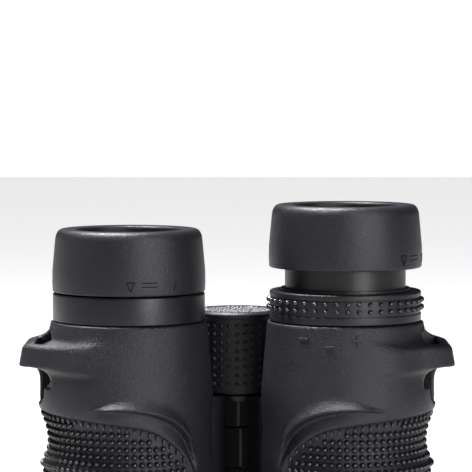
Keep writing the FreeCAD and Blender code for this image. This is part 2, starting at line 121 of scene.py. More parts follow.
def revolve(name, outline, centre, segments=192, crease=40):
    """Closed ring from a closed (r, z) outline that runs clockwise seen with r to the right."""
    pts = np.array(outline, float)
    n = len(pts)
    angles = np.linspace(0, 2 * math.pi, segments, endpoint=False)
    x = centre[0] + np.outer(np.cos(angles), pts[:, 0])
    y = centre[1] + np.outer(np.sin(angles), pts[:, 0])
    z = np.broadcast_to(pts[:, 1], x.shape)
    verts = np.stack((x, y, z), -1).reshape(-1, 3)
    area = sum(pts[i - 1, 0] * pts[i, 1] - pts[i, 0] * pts[i - 1, 1] for i in range(n))
    faces = []
    for s in range(segments):
        t = (s + 1) % segments
        for k in range(n):
            m = (k + 1) % n
            quad = (s * n + k, t * n + k, t * n + m, s * n + m)
            faces.append(quad if area > 0 else tuple(reversed(quad)))
    return make_object(name, verts, faces, crease)


def dome_template(radius, height, stretch=1.0, sides=10, sink=0.35):
    """Points (across, up, out) and faces of one closed dome, stretched along up."""
    rings = ((1.0, -sink), (0.97, 0.3 * height), (0.84, 0.66 * height), (0.55, 0.92 * height))
    verts, faces = [], []
    for share, out in rings:
        for k in range(sides):
            a = 2 * math.pi * k / sides
            verts.append((radius * share * math.cos(a), radius * (share + stretch - 1) * math.sin(a), out))
    verts.append((0.0, 0.0, height))
    for ring in range(len(rings) - 1):
        low = ring * sides
        for k in range(sides):
            m = (k + 1) % sides
            faces.append((low + k, low + m, low + sides + m, low + sides + k))
    last = (len(rings) - 1) * sides
    faces += [(last + k, last + (k + 1) % sides, len(verts) - 1) for k in range(sides)]
    faces.append(tuple(range(sides - 1, -1, -1)))
    return np.array(verts), faces


def stud(template, places):
    """One mesh of many domes. places are (point, across, up, out)."""
    shape, faces = template
    verts, all_faces = [], []
    for point, across, up, out in places:
        start = len(verts) * len(shape)
        verts.append(point + shape[:, :1] * across + shape[:, 1:2] * up + shape[:, 2:] * out)
        all_faces += [tuple(start + i for i in f) for f in faces]
    return np.concatenate(verts), all_faces


def joined(parts):
    """Several (verts, faces) as one."""
    verts, faces, start = [], [], 0
    for v, f in parts:
        verts.append(v)
        faces += [tuple(start + i for i in face) for face in f]
        start += len(v)
    return np.concatenate(verts), faces


def tube_faces(sides, rows):
    """Faces of a closed tube of so many rows of points, with its two ends."""
    faces = []
    for k in range(rows - 1):
        row = k * sides
        for m in range(sides):
            after = (m + 1) % sides
            faces.append((row + m, row + after, row + sides + after, row + sides + m))
    last = (rows - 1) * sides
    return faces + [tuple(range(sides - 1, -1, -1)), tuple(last + m for m in range(sides))]


def round_place(angle, radius, z, slope=0.0):
    """Place on a round wall, at an angle from the thumb side towards +x. slope is dr/dz."""
    a = math.radians(angle)
    radial = np.array((math.sin(a), -math.cos(a), 0.0))
    across = np.array((math.cos(a), math.sin(a), 0.0))
    up = np.array((0.0, 0.0, 1.0)) + slope * radial
    up /= np.linalg.norm(up)
    return radial * radius + np.array((0.0, 0.0, z)), across, up, np.cross(across, up)


# ---- barrel armour: one distance field, meshed once and mirrored ------------------------------
VOXEL = 0.4
LOW = np.array((-28.0, -28.4, -1.2))
HIGH = np.array((31.6, 28.4, 118.4))
GRIP_IN, GRIP_OUT, GRIP_LOW = -49.5, 158.0, 33.0
GRIP_DEPTH = 0.95
BROW_RISE, BROW_SINK = 1.95, 1.35       # above the wall at the crest, and below it in the scoop
BROW_CREST = 0.2                        # share of the brow's height that overhangs
BELT_RISE = 0.95                        # raised belt that leads to the lug
WHEEL_ROOM, WHEEL_ROOM_FOOT = 13.7, 94.6
LUG_LEAN = 0.179            # the lug's faces lean in by this much per mm of height
LUG_FOOT = 105.05

# (height, radius) of the wall on the outer side and on the hinge side
outer_line = [(0, 26.2), (13, 26.2), (24, 25.7), (36, 24.9), (48, 24.5), (58, 24.1), (64, 23.2),
              (68.5, 22.8), (72.5, 23.0), (75.2, 24.0), (77.2, 24.85), (79.2, 23.9), (81.5, 23.05),
              (85.5, 22.85), (89.0, 23.6), (92.0, 24.75), (94.5, 25.35), (98.0, 25.35), (103.0, 24.7),
              (108.0, 23.8), (112.0, 22.9), (115.0, 22.1), (117.0, 21.75), (120.0, 21.5)]
inner_line = [(0, 26.2), (13, 26.2), (24, 25.7), (36, 24.9), (48, 24.4), (60, 23.8), (68.5, 23.2),
              (77.2, 23.6), (86.5, 23.0), (92, 23.3), (97.4, 23.45), (103, 23.0), (108.6, 22.5),
              (113.0, 22.1), (117.0, 21.75), (120.0, 21.6)]
# (angle, height) of the brow's lip, of its top and of the grip's upper edge
brow_edge = [(-62, 73.0), (-53, 78.4), (-50.1, 81.8), (-48, 84.0), (-40.9, 87.5), (-29.6, 90.8),
             (-16.5, 92.9), (-7.2, 93.8), (5.4, 94.3), (23.3, 94.1), (40, 93.2), (60, 93.0)]
brow_top = [(-62, 76.0), (-53, 81.5), (-50.5, 84.5), (-48.6, 87.4), (-43.7, 90.8), (-35.1, 94.2),
            (-24.8, 96.75), (-10.8, 98.4), (-2, 98.3), (5.4, 97.6), (15.0, 96.0), (23.3, 94.7),
            (40, 93.6), (60, 93.4)]
grip_edge = [(-62, 72.5), (-52, 76.0), (-48.1, 78.0), (-41.7, 81.9), (-32.6, 85.2), (-21.1, 88.05),
             (-9.4, 89.6), (-1.0, 90.2), (18.7, 91.3), (40.7, 92.2), (72.0, 92.8), (90.0, 92.8),
             (180.0, 92.8)]


def smooth_line(points, at):
    """Smooth curve through (key, value) points, read at the keys given."""
    k, v = np.array(points, float).T
    slope = np.gradient(v, k)
    fine = np.linspace(k[0], k[-1], 2400)
    i = np.clip(np.searchsorted(k, fine, side="right") - 1, 0, len(k) - 2)
    h = k[i + 1] - k[i]
    t = (fine - k[i]) / h
    y = ((1 + 2 * t) * (1 - t) ** 2 * v[i] + t * (1 - t) ** 2 * h * slope[i]
         + t * t * (3 - 2 * t) * v[i + 1] + t * t * (t - 1) * h * slope[i + 1])
    return np.interp(at, fine, y).astype(np.float32)


def ease(x, a, b):
    t = np.clip((x - a) / (b - a), 0, 1)
    return t * t * (3 - 2 * t)


def lesser(a, b, k):
    """Smooth minimum, rounding over k."""
    h = np.clip(0.5 + 0.5 * (b - a) / k, 0, 1)
    return b + (a - b) * h - k * h * (1 - h)


def greater(a, b, k):
    return -lesser(-a, -b, k)


def box_field(centre, half, edge, *axes):
    """Rounded box's distance, with None for an axis that isn't bounded."""
    q = [np.abs(a - c) - (h - edge) for a, c, h in zip(axes, centre, half)]
    outside = np.sqrt(sum(np.maximum(d, 0) ** 2 for d in q))
    inside = np.minimum(np.maximum.reduce([np.broadcast_to(d, outside.shape) for d in q]), 0)
    return outside + inside - edge


def wall_radius(phi, z):
    """Radius of the barrel before its thumb brow and grip are worked in."""
    turn = np.where(phi < -125.6, phi + 360, phi)
    outward = ease(turn, -62, 22) * (1 - ease(turn, 160, 218))
    return outward * smooth_line(outer_line, z) + (1 - outward) * smooth_line(inner_line, z)


def in_grip(phi, z):
    """How far inside the grip's edge a point lies, in mm."""
    arc = math.radians(1) * 23.5
    below = (smooth_line(grip_edge, phi) - z) * 0.93
    inner, outer = (phi - GRIP_IN) * arc, (GRIP_OUT - phi) * arc
    return lesser(lesser(below, inner, 2.5), lesser(outer, z - GRIP_LOW, 5.0), 2.5)


def relief(phi, z):
    """Belt and thumb brow: a roll that overhangs a crease, and a scoop from there to the grip."""
    edge, top = smooth_line(brow_edge, phi), smooth_line(brow_top, phi)
    low = smooth_line(grip_edge, phi)
    rise = BROW_RISE * ease(phi, -53, -44) * (1 - ease(phi, 6, 27))
    sink = BROW_SINK * ease(phi, -53.5, -51) * (1 - ease(phi, 8, 27))
    up = np.clip((z - edge) / np.maximum(top - edge, 0.5), 0, 1)
    over = np.clip((up - BROW_CREST) / (1 - BROW_CREST), 0, 1)
    under = np.clip((BROW_CREST - up) / BROW_CREST, 0, 1)
    brow = rise * (1 - over) ** 1.6 - (rise + sink) * under ** 1.8
    down = np.clip((edge - z) / np.maximum(edge - low, 0.5), 0, 1)
    belt_top = np.interp(phi, [20, 80], [112.0, 110.8])
    belt = BELT_RISE * ease(phi, 8, 34) * (1 - ease(phi, 70, 84)) * ease(z, 102.9, 104.9)
    belt = belt * (1 - ease(z - belt_top, -1.3, 1.3))
    return np.where(z > edge, brow + belt, -sink * (1 - down) ** 1.5)


def lug_field(x, y, z):
    """Belt that stands out on the outer side and fades into the barrel."""
    reach, side = x + LUG_LEAN * (z - LUG_FOOT), np.abs(y)
    plan = greater(reach - 30.15, (reach + side - 39.2) / math.sqrt(2), 0.9)
    plan = greater(plan, 0.495 * reach + 0.869 * side - 24.05, 1.2)
    plan = greater(plan, 12.0 - x, 5.0)
    deep = -plan
    top = np.interp(deep, [-9, 0, 0.62, 2.05, 3.67, 5.2, 6.2, 6.83, 7.3],
                    [110.1, 110.35, 111.1, 111.75, 112.2, 113.15, 114.2, 115.2, 118.0])
    low = np.interp(deep, [-9, 0, 2.18, 4.0, 4.9, 5.6, 6.6],
                    [105.3, 105.05, 104.3, 103.6, 102.6, 101.5, 98.0])
    return greater(greater(plan, 0.85 * (z - top), 0.5), 0.85 * (low - z), 0.5)


def strap_field(x, y, z):
    """Slot behind the lug's bar, its two mouths and the shallow ramp below it."""
    run = box_field((23.2, -3.6, 106.8), (2.15, 6.6, 7.4), 0.5, x, y, z)
    bowl = np.sqrt((x - 23.7) ** 2 + (z - 113.4) ** 2 + 0 * y) - 2.0
    bowl = greater(bowl, np.abs(y + 4.9) - 7.9, 1.2)
    above = box_field((26.9, -3.6, 118.0), (4.2, 6.6, 4.6), 0.8, x, y, z)
    mouth = box_field((26.2, -6.3, 102.2), (5.2, 9.3, 2.7), 0.6, x, y, z)
    mouth = greater(mouth, ((z - 102.4) - (x - 21.0) * 0.75) / 1.25, 1.2)
    floor = np.interp(z, [94.2, 94.9, 97.3, 100.0], [25.6, 24.0, 22.8, 22.4])
    ramp = greater((floor - x) * 0.9 + 0 * y, np.abs(y + 3.6) - 6.6, 0.5)
    ramp = greater(ramp, np.abs(z - 97.3) - 3.2, 0.4)
    field = lesser(lesser(run, mouth, 0.3), ramp, 0.3)
    return lesser(lesser(field, bowl, 0.4), above, 0.4)


def armour_mesh():
    """Points in barrel coordinates and faces of the rubber skin and its lug."""
    axes = [np.arange(lo, hi, VOXEL, dtype=np.float32) for lo, hi in zip(LOW, HIGH)]
    x, y, z = axes[0][:, None, None], axes[1][None, :, None], axes[2][None, None, :]
    r = np.sqrt(x * x + y * y)
    phi = np.degrees(np.arctan2(x, -y))
    wall = wall_radius(phi, z)
    wall += relief(phi, z)
    wall -= GRIP_DEPTH * ease(in_grip(phi, z), 0.0, 0.45)
    field = (r - wall) * 0.97
    along = x * math.cos(WEB_ANGLE) + y * math.sin(WEB_ANGLE)
    across = y * math.cos(WEB_ANGLE) - x * math.sin(WEB_ANGLE)
    arm = box_field((12.3, 0.0, 67.4), (12.3, 7.6, 27.0), 0.9, along, across, z)
    field = lesser(field, arm, 2.0)
    field = greater(field, -z, 1.2)
    field = lesser(field, lug_field(x, y, z), 1.4)
    field = greater(field, z - BODY_TOP, 0.5)
    # hollow for the rigid shell, and room for the web, the wheel and the strap
    shell = np.interp(z, [2.9, 38.0, 60.0, 130.0], [24.3, 24.3, 20.7, 20.7])
    shell = np.where(z < 3.0, 22.75, shell)
    field = np.maximum(field, (shell - r) * 0.97)
    slot = np.maximum(np.maximum(np.abs(across) - 6.1, 15.0 - along), np.maximum(41.9 - z, z - 95.0))
    field = np.maximum(field, -slot)
    hub = np.sqrt((x - HINGE[0]) ** 2 + (y - HINGE[1]) ** 2)
    pocket = greater(hub - WHEEL_ROOM, WHEEL_ROOM_FOOT - z, 0.6)
    field = greater(field, -pocket, 0.5)
    field = greater(field, -strap_field(x, y, z), 0.5)
    band = 3 * VOXEL
    field = np.ascontiguousarray(np.clip(field, -band, band), dtype=np.float32)
    grid = openvdb.FloatGrid(band)
    grid.copyFromArray(field, tolerance=0.0)
    points, tris, quads = grid.convertToPolygons(isovalue=0.0, adaptivity=0.02)
    points = points.astype(float) * VOXEL + LOW
    faces = [tuple(int(i) for i in f) for f in tris] + [tuple(int(i) for i in f) for f in quads]
    return points, faces


def outward(verts, faces):
    """The faces, turned so that they face out."""
    v = np.asarray(verts)
    volume = 0.0
    for f in faces:
        for k in range(1, len(f) - 1):
            volume += float(np.dot(v[f[0]], np.cross(v[f[k]], v[f[k + 1]])))
    return faces if volume > 0 else [tuple(reversed(f)) for f in faces]


def grip_pips():
    """Domes in level rings over the grip, under a row of short upright ribs; flat dark discs under the domes
    paint shade.
    """
    pitch, step, top = 360 / 69, 2.07, 91.91
    domes, ribs = [], []
    columns = [GRIP_IN + 1.9 + pitch * k for k in range(int((GRIP_OUT - GRIP_IN) / pitch))]

    def at(phi, z):
        p, q = np.array([phi]), np.array([z - 0.3, z, z + 0.3])
        radius = wall_radius(p, q)
        return round_place(phi, float(radius[1]) - GRIP_DEPTH, z, float(radius[2] - radius[0]) / 0.6)

    for phi in columns:
        edge = float(smooth_line(grip_edge, np.array([phi]))[0])
        z = edge - 1.2
        if float(in_grip(np.array([phi]), np.array([z]))[0]) > 0.8:
            ribs.append(at(phi, z))
        for row in range(40):
            z = top - step * row
            if z < edge - 2.35 and float(in_grip(np.array([phi]), np.array([z]))[0]) > 1.0:
                domes.append(at(phi, z))
    studs = joined([stud(dome_template(0.7, GRIP_DEPTH + 0.12), domes),
                    stud(dome_template(0.34, GRIP_DEPTH, 2.2), ribs)])
    # the flat dark discs under the domes are painted shade in the grip's recess
    return studs, stud(dome_template(0.98, 0.14), domes)


# ---- materials --------------------------------------------------------------------------------
def skin(name, dark, light, rough, grain=0.25, bump=0.12, contrast=0.5, **sockets):
    """Moulded or turned surface: two close colours mixed by noise, with fine grain in the bump.

    contrast weighs the fine noise in the mix against the broad one. grain is its size in mm.
    """
    mat = bpy.data.materials.new(name)
    mat.use_nodes = True
    tree = mat.node_tree
    node = tree.nodes.get("Principled BSDF")
    make, link = tree.nodes.new, tree.links.new
    place = make("ShaderNodeTexCoord").outputs["Object"]

    def noise(size, detail=3.0):
        n = make("ShaderNodeTexNoise")
        n.inputs["Scale"].default_value = 1000.0 / size
        n.inputs["Detail"].default_value = detail
        link(place, n.inputs["Vector"])
        return n.outputs["Fac"]

    broad, fine = noise(9.0), noise(grain, 2.0)
    blend = make("ShaderNodeMix")
    blend.data_type = "RGBA"
    blend.inputs["A"].default_value = (*dark, 1)
    blend.inputs["B"].default_value = (*light, 1)
    mixed = make("ShaderNodeMath")
    mixed.operation = "MULTIPLY_ADD"
    link(fine, mixed.inputs[0])
    mixed.inputs[1].default_value = contrast
    half = make("ShaderNodeMath")
    half.operation = "MULTIPLY_ADD"
    link(broad, half.inputs[0])
    half.inputs[1].default_value = 0.5
    half.inputs[2].default_value = 0.25 - 0.5 * contrast
    link(half.outputs[0], mixed.inputs[2])
    link(mixed.outputs[0], blend.inputs["Factor"])
    link(blend.outputs["Result"], node.inputs["Base Color"])
    level = make("ShaderNodeMapRange")
    link(mixed.outputs[0], level.inputs["Value"])
    level.inputs["From Min"].default_value = 0.3
    level.inputs["From Max"].default_value = 0.7
    level.inputs["To Min"].default_value = rough - 0.06
    level.inputs["To Max"].default_value = rough + 0.06
    link(level.outputs["Result"], node.inputs["Roughness"])
    lift = make("ShaderNodeBump")
    lift.inputs["Strength"].default_value = bump
    lift.inputs["Distance"].default_value = grain * MM
    link(fine, lift.inputs["Height"])
    link(lift.outputs["Normal"], node.inputs["Normal"])
    for key, value in sockets.items():
        node.inputs[key.replace("_", " ")].default_value = value
    return mat


def dress(material, *objects):
    for o in objects:
        o.data.materials.clear()
        o.data.materials.append(material)


def attach(piece, material, body, slot, *replaced):
    """Dress a piece, ride it on its body and hide the nodes it stands for."""
    dress(material, piece)
    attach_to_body(piece, body)
    if replaced:
        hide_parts(*replaced)


MATT = {"Specular_IOR_Level": 0.4}
DULL = {"Specular_IOR_Level": 0.16}
RUBBER = (0.0078, 0.0073, 0.0104), (0.0152, 0.0144, 0.0202)
rubber = skin("armour_rubber", *RUBBER, 0.43, 0.3, 0.62, 2.6, **MATT)
rubber_lug = skin("lug_plastic", *RUBBER, 0.43, 0.3, 0.62, 2.6, **MATT)
cup_skin = skin("cup_rubber", (0.0078, 0.0073, 0.0104), (0.0142, 0.0136, 0.019), 0.42, 0.3, 0.45, 2.4,
                **MATT)
collar_skin = skin("collar_plastic", (0.0062, 0.0058, 0.0084), (0.0112, 0.0106, 0.015), 0.36, 0.3, 0.2,
                   **MATT)
ring_skin = skin("diopter_rubber", (0.0068, 0.0064, 0.009), (0.0122, 0.0116, 0.0162), 0.4, 0.35, 0.3,
                 **MATT)
shell_skin = skin("shell_plastic", (0.0045, 0.0044, 0.0054), (0.0075, 0.0074, 0.009), 0.65, 0.3, 0.3,
                  **DULL)
# very dark rubber for the raised eyecup marks, and for the grip's discs and the strap slot's box, which are
# painted shade
marks_and_painted_shade_skin = skin("cup_mark_and_painted_shade", (0.002, 0.002, 0.0025), (0.004, 0.004, 0.005), 0.6, 0.3, 0.2,
                 Specular_IOR_Level=0.2)
cover_skin = skin("hinge_cover", (0.0052, 0.005, 0.0062), (0.0085, 0.0083, 0.01), 0.7, 0.3, 0.3, **DULL)
pip_skin = skin("grip_pips", *RUBBER, 0.25, 0.3, 0.1, 1.0, Specular_IOR_Level=0.75)
rib_skin = skin("hinge_rib", (0.009, 0.009, 0.01), (0.017, 0.017, 0.019), 0.42, 0.3, 0.3, **MATT)
tube_skin = skin("tube_metal", (0.006, 0.0056, 0.0054), (0.013, 0.0122, 0.0118), 0.4, 0.3, 0.2,
                 Specular_IOR_Level=0.42)
lining = skin("cup_lining", (0.004, 0.004, 0.0045), (0.008, 0.008, 0.0085), 0.6, 0.3, 0.3, **MATT)
wheel_skin = skin("wheel_rubber", (0.0066, 0.0062, 0.0086), (0.0124, 0.0118, 0.0158), 0.44, 0.28, 0.4,
                  1.2, **MATT)
knurl_metal = skin("wheel_plate_metal", (0.003, 0.003, 0.004), (0.08, 0.083, 0.09), 0.42, 0.6, 0.5, 3.5,
                   Metallic=0.6)
core_metal = skin("wheel_metal", (0.02, 0.02, 0.022), (0.05, 0.05, 0.055), 0.35, 0.3, 0.15, Metallic=0.6)
anodised = skin("inner_metal", (0.008, 0.008, 0.008), (0.018, 0.018, 0.018), 0.5, 0.3, 0.2)
pin_steel = skin("pin_steel", (0.32, 0.32, 0.33), (0.5, 0.5, 0.51), 0.28, 0.4, 0.12, Metallic=1.0)
clip_steel = skin("clip_steel", (0.35, 0.35, 0.35), (0.55, 0.55, 0.55), 0.3, 0.5, 0.1, Metallic=1.0)
brass = skin("brass", (0.1, 0.075, 0.035), (0.18, 0.135, 0.065), 0.4, 0.5, 0.12, Metallic=0.9)
# near-black metal worn by the brass washer instead of brass: painted shade in the gap between the barrels
washer_painted_shade = skin("washer_brass_darkened_as_painted_shade", (0.02, 0.017, 0.013), (0.045, 0.036, 0.026), 0.45, 0.4, 0.2, Metallic=0.5)
nylon = skin("slip_nylon", (0.02, 0.02, 0.02), (0.035, 0.035, 0.035), 0.5, 0.3, 0.2)
cap_skin = skin("cap_plastic", (0.014, 0.014, 0.016), (0.026, 0.026, 0.03), 0.42, 0.25, 0.2)
seal = skin("seal_rubber", (0.012, 0.012, 0.012), (0.022, 0.022, 0.022), 0.6, 0.3, 0.2)
lens = skin("lens_glass", (0.93, 0.97, 0.95), (0.97, 0.99, 0.98), 0.07, 2.0, 0.0, Transmission_Weight=0.97,
            IOR=1.5, Coat_Weight=0.5, Coat_Roughness=0.02, Coat_Tint=(0.9, 0.98, 0.93, 1))
prism = skin("prism_glass", (0.85, 0.9, 0.92), (0.92, 0.95, 0.97), 0.07, 2.0, 0.0, Transmission_Weight=0.95,
             IOR=1.57)
cad_finish = {"shell_plastic": shell_skin, "armour_rubber": rubber, "lug_plastic": rubber_lug,
              "tube_metal": tube_skin, "pin_steel": pin_steel, "cup_lining": lining, "cup_rubber": cup_skin,
              "slip_nylon": nylon, "inner_metal": anodised, "lens_glass": lens, "prism_glass": prism,
              "clip_steel": clip_steel, "collar_plastic": collar_skin, "diopter_rubber": ring_skin,
              "brass": brass, "wheel_metal": core_metal, "wheel_rubber": wheel_skin,
              "wheel_plate_metal": knurl_metal, "cap_plastic": cap_skin, "seal_rubber": seal}
for part in frame["record"]["subparts"]:
    dress(cad_finish[part["material_slot"]], nodes[part["node"]])
# the washer is darkened as painted shade for the shadowed gap
dress(washer_painted_shade, nodes["focus_wheel_washer"])


# ---- barrels ----------------------------------------------------------------------------------
# a dark box paints the shade inside the strap slot's lower mouth
STRAP_SHADE_BOX = (21.2, 24.3), (2.3, 3.5), (95.0, 104.4)        # x, y and z spans


def strap_painted_shade_box():
    """Corners and faces of the dark box in the strap slot's lower mouth, painted shade where the mouth lies
    in shadow.
    """
    spans = STRAP_SHADE_BOX
    corners = np.array([(x, y, z) for x in spans[0] for y in spans[1] for z in spans[2]], float)
    faces = [(0, 1, 3, 2), (4, 6, 7, 5), (0, 4, 5, 1), (2, 3, 7, 6), (0, 2, 6, 4), (1, 5, 7, 3)]
    return corners, outward(corners - corners.mean(axis=0), faces)


skin_verts, skin_faces = armour_mesh()
(pip_verts, pip_faces), (shade_disc_verts, shade_disc_faces) = grip_pips()
shade_box_verts, shade_box_faces = strap_painted_shade_box()
barrel_pieces = (
    ("armour_skin", skin_verts, outward(skin_verts, skin_faces), None, rubber),
    ("grip_pips", pip_verts, outward(pip_verts, pip_faces), 50, pip_skin),
    # the grip's dark discs and the strap slot's dark box are painted shade, not parts
    ("grip_painted_shade_discs", shade_disc_verts, outward(shade_disc_verts, shade_disc_faces), 50, marks_and_painted_shade_skin),
    ("strap_painted_shade_box", shade_box_verts, shade_box_faces, 30, marks_and_painted_shade_skin))
for side in ("left", "right"):
    for name, verts, faces, crease, material in barrel_pieces:
        piece = make_object(f"{side}_{name}", to_side(verts, side), flipped(faces, side), crease)
        covered = (f"{side}_rubber_armour", f"{side}_strap_lug") if name == "armour_skin" else ()
        attach(piece, material, f"{side}_barrel", "armour_rubber", *covered)

# ---- eyecups ----------------------------------------------------------------------------------
for side, sign in (("left", -1), ("right", 1)):
    low, high = span_of(f"{side}_eyecup_rubber")
    outline = softened([(18.75, low, 0), (21.2, low, 0.5), (21.3, low + 2.6, 0), (21.25, low + 6, 0),
                        (20.35, high - 1.6, 1.4), (19.2, high, 1.5), (17.2, high - 0.02, 0),
                        (14.7, high - 0.12, 0.35), (14.35, high - 0.7, 0.3), (14.35, high - 2.2, 0),
                        (18.75, high - 2.2, 0)])
    cup = revolve(f"{side}_eyecup_cover", outline, (sign * HALF_IPD, BARREL_Y))
    attach(cup, cup_skin, f"{side}_eyecup", "cup_rubber", f"{side}_eyecup_rubber")

# ---- collar and diopter ring ------------------------------------------------------------------
low, high = span_of("left_collar")
outline = softened([(16.85, low, 0), (21.15, low, 0.3), (21.15, high, 0.6), (16.85, high, 0)])
collar = revolve("left_collar_ring", outline, (-HALF_IPD, BARREL_Y))
attach(collar, collar_skin, "left_barrel", "collar_plastic", "left_collar")

LEDGE = 0.7                 # how far the ring's outer part stops below its top
low, high = span_of("right_diopter_ring")
high -= LEDGE
outline = softened([(16.85, low, 0), (21.05, low, 0.3), (21.1, low + 2.05, 0.1), (20.7, low + 2.1, 0),
                    (20.7, low + 2.4, 0), (20.95, low + 2.45, 0.1), (20.95, high - 1.95, 0.1),
                    (20.65, high - 1.9, 0), (20.65, high - 1.65, 0), (21.05, high - 1.6, 0.2),
                    (21.1, high - 0.05, 0.7), (18.0, high, 0.0), (18.0, high + LEDGE, 0.2),
                    (16.85, high + LEDGE, 0)])
ring = revolve("right_diopter_band", outline, (HALF_IPD, BARREL_Y))
attach(ring, ring_skin, "diopter_ring", "diopter_rubber", "right_diopter_ring")
RING_PIPS = 43
ring_places = [round_place(k * 360 / RING_PIPS, 20.9, low + height)
               for k in range(RING_PIPS) for height in (3.75, 5.8)]
verts, faces = stud(dome_template(0.7, 1.08), ring_places)
ring_pips = make_object("right_diopter_pips", to_side(verts, "right"), outward(verts, faces), 50)
attach(ring_pips, pip_skin, "diopter_ring", "diopter_rubber")

# ---- focus wheel ------------------------------------------------------------------------------
low, high = span_of("focus_wheel_grip")
outline = softened([(11.42, low, 0), (12.3, low, 0.5), (12.3, high - 2.3, 0.4), (12.95, high - 1.5, 0.4),
                    (12.95, high - 0.7, 0.4), (12.0, high, 0.5), (11.42, high, 0)])
grip = revolve("focus_wheel_sleeve", outline, (0.0, HINGE_Y), 144)
attach(grip, wheel_skin, "focus_wheel", "wheel_rubber", "focus_wheel_grip")
WHEEL_PIPS, WHEEL_ROWS, WHEEL_STEP = 34, 8, 2.35
wheel_places = [round_place(k * 360 / WHEEL_PIPS, 12.28, high - 3.9 - WHEEL_STEP * row)
                for k in range(WHEEL_PIPS) for row in range(WHEEL_ROWS)]
verts, faces = stud(dome_template(0.62, 0.5), wheel_places)
faces = outward(verts, faces)
wheel_pips = make_object("focus_wheel_pips", verts + np.array((0.0, HINGE_Y, 0.0)), faces, 50)
attach(wheel_pips, wheel_skin, "focus_wheel", "wheel_rubber")

KNURL_TURN = (math.cos(0.3), math.sin(0.3))     # slant of the knurl's rows


def knurled_plate(radius, low, high, pitch, depth):
    """Disc whose top is covered with square pyramids."""
    n = int(2 * radius / (pitch / 2)) + 1
    count = n + n % 2 + 1
    half = (count - 1) // 2
    verts, index = [], {}
    for i in range(-half, half + 1):
        for j in range(-half, half + 1):
            x, y = i * pitch / 2, j * pitch / 2
            u, v = x * KNURL_TURN[0] + y * KNURL_TURN[1], y * KNURL_TURN[0] - x * KNURL_TURN[1]
            if math.hypot(u, v) > radius - 0.35:
                continue
            peak = (i % 2) and (j % 2)
            index[i, j] = len(verts)
            verts.append((u, v, high if peak else high - depth))
    faces = []
    for i, j in index:
        square = [index.get(key) for key in ((i, j), (i + 1, j), (i + 1, j + 1), (i, j + 1))]
        if None not in square:
            # each square is split so that its diagonal runs up to the peak
            if (i + j) % 2:
                faces += [(square[0], square[1], square[3]), (square[1], square[2], square[3])]
            else:
                faces += [(square[0], square[1], square[2]), (square[0], square[2], square[3])]
    return verts, faces


def closed_below(verts, faces, low, high):
    """The knurled top with a wall round it and a flat underside."""
    edges = dict.fromkeys((a, b) for f in faces for a, b in zip(f, f[1:] + f[:1]))
    rim = {a: b for a, b in edges if (b, a) not in edges}
    start = next(iter(rim))
    loop, at = [start], rim[start]
    while at != start:
        loop.append(at)
        at = rim[at]
    used = sorted({i for f in faces for i in f})
    renumber = {old: new for new, old in enumerate(used)}
    verts = [verts[i] for i in used]
    faces = [tuple(renumber[i] for i in f) for f in faces]
    loop = [renumber[i] for i in loop]
    base, n = len(verts), len(loop)
    angles = [math.atan2(verts[i][1], verts[i][0]) for i in loop]
    for radius, z in ((10.78, high - 0.12), (10.78, low + 0.02), (6.0, low + 0.02)):
        verts += [(radius * math.cos(a), radius * math.sin(a), z) for a in angles]
    for k in range(n):
        m = (k + 1) % n
        faces.append((loop[m], loop[k], base + k, base + m))
        for lower in (base + n, base + 2 * n):
            faces.append((lower - n + m, lower - n + k, lower + k, lower + m))
    faces.append(tuple(base + 2 * n + k for k in range(n - 1, -1, -1)))
    verts = np.array(verts, float)
    return verts, outward(verts, faces)


low, high = span_of("focus_wheel_plate")
verts, faces = closed_below(*knurled_plate(10.8, low, high, 1.15, 0.6), low, high)
plate = make_object("focus_wheel_knurl", verts + np.array((0.0, HINGE_Y, 0.0)), faces)
plate.data.shade_flat()
attach(plate, knurl_metal, "focus_wheel", "wheel_plate_metal", "focus_wheel_plate")


# ---- raised marks -----------------------------------------------------------------------------
def stroke(points, width, wall, height=0.16):
    """Closed raised line over (angle, z) points on a round wall whose radius at z is wall(z)."""
    line = []
    for (a0, z0), (a1, z1) in zip(points, points[1:]):
        count = max(2, int(math.hypot((a1 - a0) * 0.37, z1 - z0) / 0.25))
        line += [(a0 + (a1 - a0) * k / count, z0 + (z1 - z0) * k / count) for k in range(count)]
    line.append(points[-1])
    section = ((-1, -0.25), (-1, 0.75 * height), (-0.4, height), (0.4, height), (1, 0.75 * height),
               (1, -0.25))
    verts, n = [], len(section)
    for k, (a, z) in enumerate(line):
        before, after = line[max(k - 1, 0)], line[min(k + 1, len(line) - 1)]
        across, up = (after[0] - before[0]) * math.radians(wall(z)), after[1] - before[1]
        length = math.hypot(across, up)
        aside, upside = -up / length * width / 2, across / length * width / 2
        for sign, out in section:
            angle = a + math.degrees(sign * aside / wall(z))
            point, _, _, _ = round_place(angle, wall(z + sign * upside) + out, z + sign * upside)
            verts.append(point)
    return np.array(verts), outward(np.array(verts), tube_faces(n, len(line)))


def body_wall(phi):
    """Radius of the rubber at one angle, as a function of height."""
    def wall(z):
        place = np.array([float(phi)]), np.array([float(z)])
        return float(wall_radius(*place)[0] + relief(*place)[0])
    return wall


def cup_wall(_):
    """Radius of an eyecup where its marks are."""
    return 21.26


def cup_marks(side, twist):
    """Triangle, two lines and a stroke at an eyecup's foot."""
    low = span_of(f"{side}_eyecup_rubber")[0]
    sign = 1 if side == "right" else -1
    base = sign * (3.6 + twist)
    triangle = [(base - 3.1, low + 3.9), (base + 3.1, low + 3.9), (base, low + 1.3), (base - 3.1, low + 3.9)]
    strokes = [stroke(triangle, 0.34, cup_wall, 0.16)]
    for z in (low + 3.7, low + 2.6):
        strokes.append(stroke([(base + sign * 8.0, z), (base + sign * 20.0, z)], 0.3, cup_wall, 0.14))
    slash = [(base + sign * 33.5, low + 1.6), (base + sign * 36.0, low + 3.9)]
    strokes.append(stroke(slash, 0.3, cup_wall, 0.16))
    return joined(strokes)


